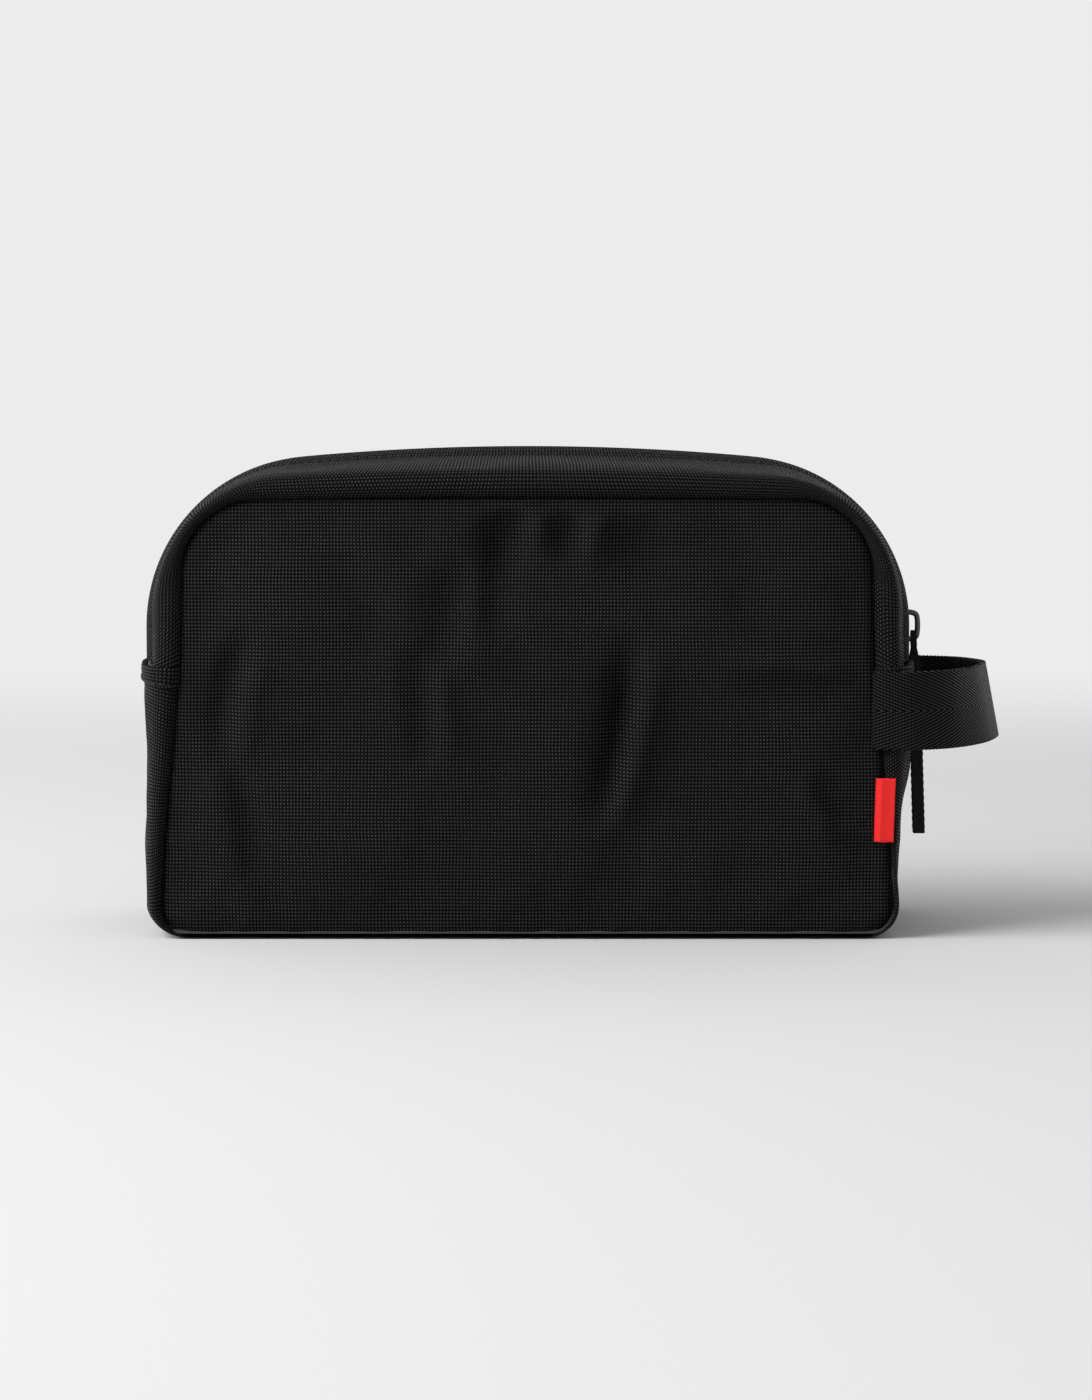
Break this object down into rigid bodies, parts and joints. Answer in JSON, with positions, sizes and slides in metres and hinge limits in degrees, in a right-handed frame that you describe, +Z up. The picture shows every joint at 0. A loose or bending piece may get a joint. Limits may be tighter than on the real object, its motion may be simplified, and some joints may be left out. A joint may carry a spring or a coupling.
{
  "type": "wash bag",
  "caption": "Boxy padded black wash bag with a zip over the top, a webbing loop and a small red seam label on one side.",
  "frame": {"origin": "centre of the base, on the surface the bag stands on", "axes": "+Z up, +X towards the webbing loop, -Y is the front panel with the label, +Y the back"},
  "size_m": [0.2803, 0.0886, 0.1565],
  "materials": {
    "shell_cloth": "black woven nylon with small diagonal grey dots and a soft sheen",
    "foam": "thin dark padding foam, hidden",
    "lining": "smooth dark lining cloth",
    "binding": "black woven binding tape",
    "webbing": "black herringbone webbing, slightly glossy ribs",
    "zip_tape": "matte black knitted tape",
    "zip_coil": "black moulded coil, semi-gloss",
    "hardware": "gunmetal grey, satin",
    "label": "plain bright red woven label, no lettering"
  },
  "bodies": {
    "bag": {"front_panel": "shell_cloth", "front_panel_foam": "foam", "front_panel_lining": "lining", "back_panel": "shell_cloth", "back_panel_foam": "foam", "back_panel_lining": "lining", "lower_gusset": "shell_cloth", "lower_gusset_foam": "foam", "lower_gusset_lining": "lining", "front_zip_gusset_right": "shell_cloth", "front_zip_lining_right": "lining", "front_zip_tape_right": "zip_tape", "front_zip_coil_right": "zip_coil", "back_zip_gusset_right": "shell_cloth", "back_zip_lining_right": "lining", "back_zip_tape_right": "zip_tape", "back_zip_coil_right": "zip_coil", "front_zip_gusset_left": "shell_cloth", "front_zip_lining_left": "lining", "front_zip_tape_left": "zip_tape", "front_zip_coil_left": "zip_coil", "back_zip_gusset_left": "shell_cloth", "back_zip_lining_left": "lining", "back_zip_tape_left": "zip_tape", "back_zip_coil_left": "zip_coil", "zip_stop_right": "hardware", "zip_stop_left": "hardware", "handle_end_front": "webbing", "handle_end_back": "webbing", "seam_binding_front": "binding", "seam_binding_back": "binding", "slip_pocket": "lining"},
    "front_flap": {"front_zip_gusset_top": "shell_cloth", "front_zip_lining_top": "lining", "front_zip_tape_top": "zip_tape", "front_zip_coil_top": "zip_coil"},
    "back_flap": {"back_zip_gusset_top": "shell_cloth", "back_zip_lining_top": "lining", "back_zip_tape_top": "zip_tape", "back_zip_coil_top": "zip_coil"},
    "slider": {"slider_body": "hardware", "slider_bridge": "hardware"},
    "pull": {"zip_pull": "zip_tape"},
    "handle": {"handle_loop": "webbing"},
    "label": {"seam_label": "label"}
  },
  "joints": [
    {"name": "front_flap_fold", "type": "hinge", "parent": "bag", "child": "front_flap", "pos_m": [0, -0.04, 0.1405], "axis": [1, 0, 0], "range_deg": [0, 60]},
    {"name": "back_flap_fold", "type": "hinge", "parent": "bag", "child": "back_flap", "pos_m": [0, 0.04, 0.1405], "axis": [-1, 0, 0], "range_deg": [0, 60]},
    {"name": "zip_travel", "type": "hinge", "parent": "bag", "child": "slider", "pos_m": [0.0688, 0, 0.0978], "axis": [0, 1, 0], "range_deg": [-84, 0]},
    {"name": "pull_swing", "type": "hinge", "parent": "slider", "child": "pull", "pos_m": [0.1262, 0, 0.0934], "axis": [0, 1, 0], "range_deg": [-20, 0], "deforming": ["zip_pull"]},
    {"name": "handle_swing", "type": "hinge", "parent": "bag", "child": "handle", "pos_m": [0.112, 0, 0.073], "axis": [0, 1, 0], "range_deg": [-15, 15]},
    {"name": "label_flex", "type": "hinge", "parent": "bag", "child": "label", "pos_m": [0.1114, -0.0426, 0.041], "axis": [0, 0, 1], "range_deg": [-75, 0]}
  ]
}
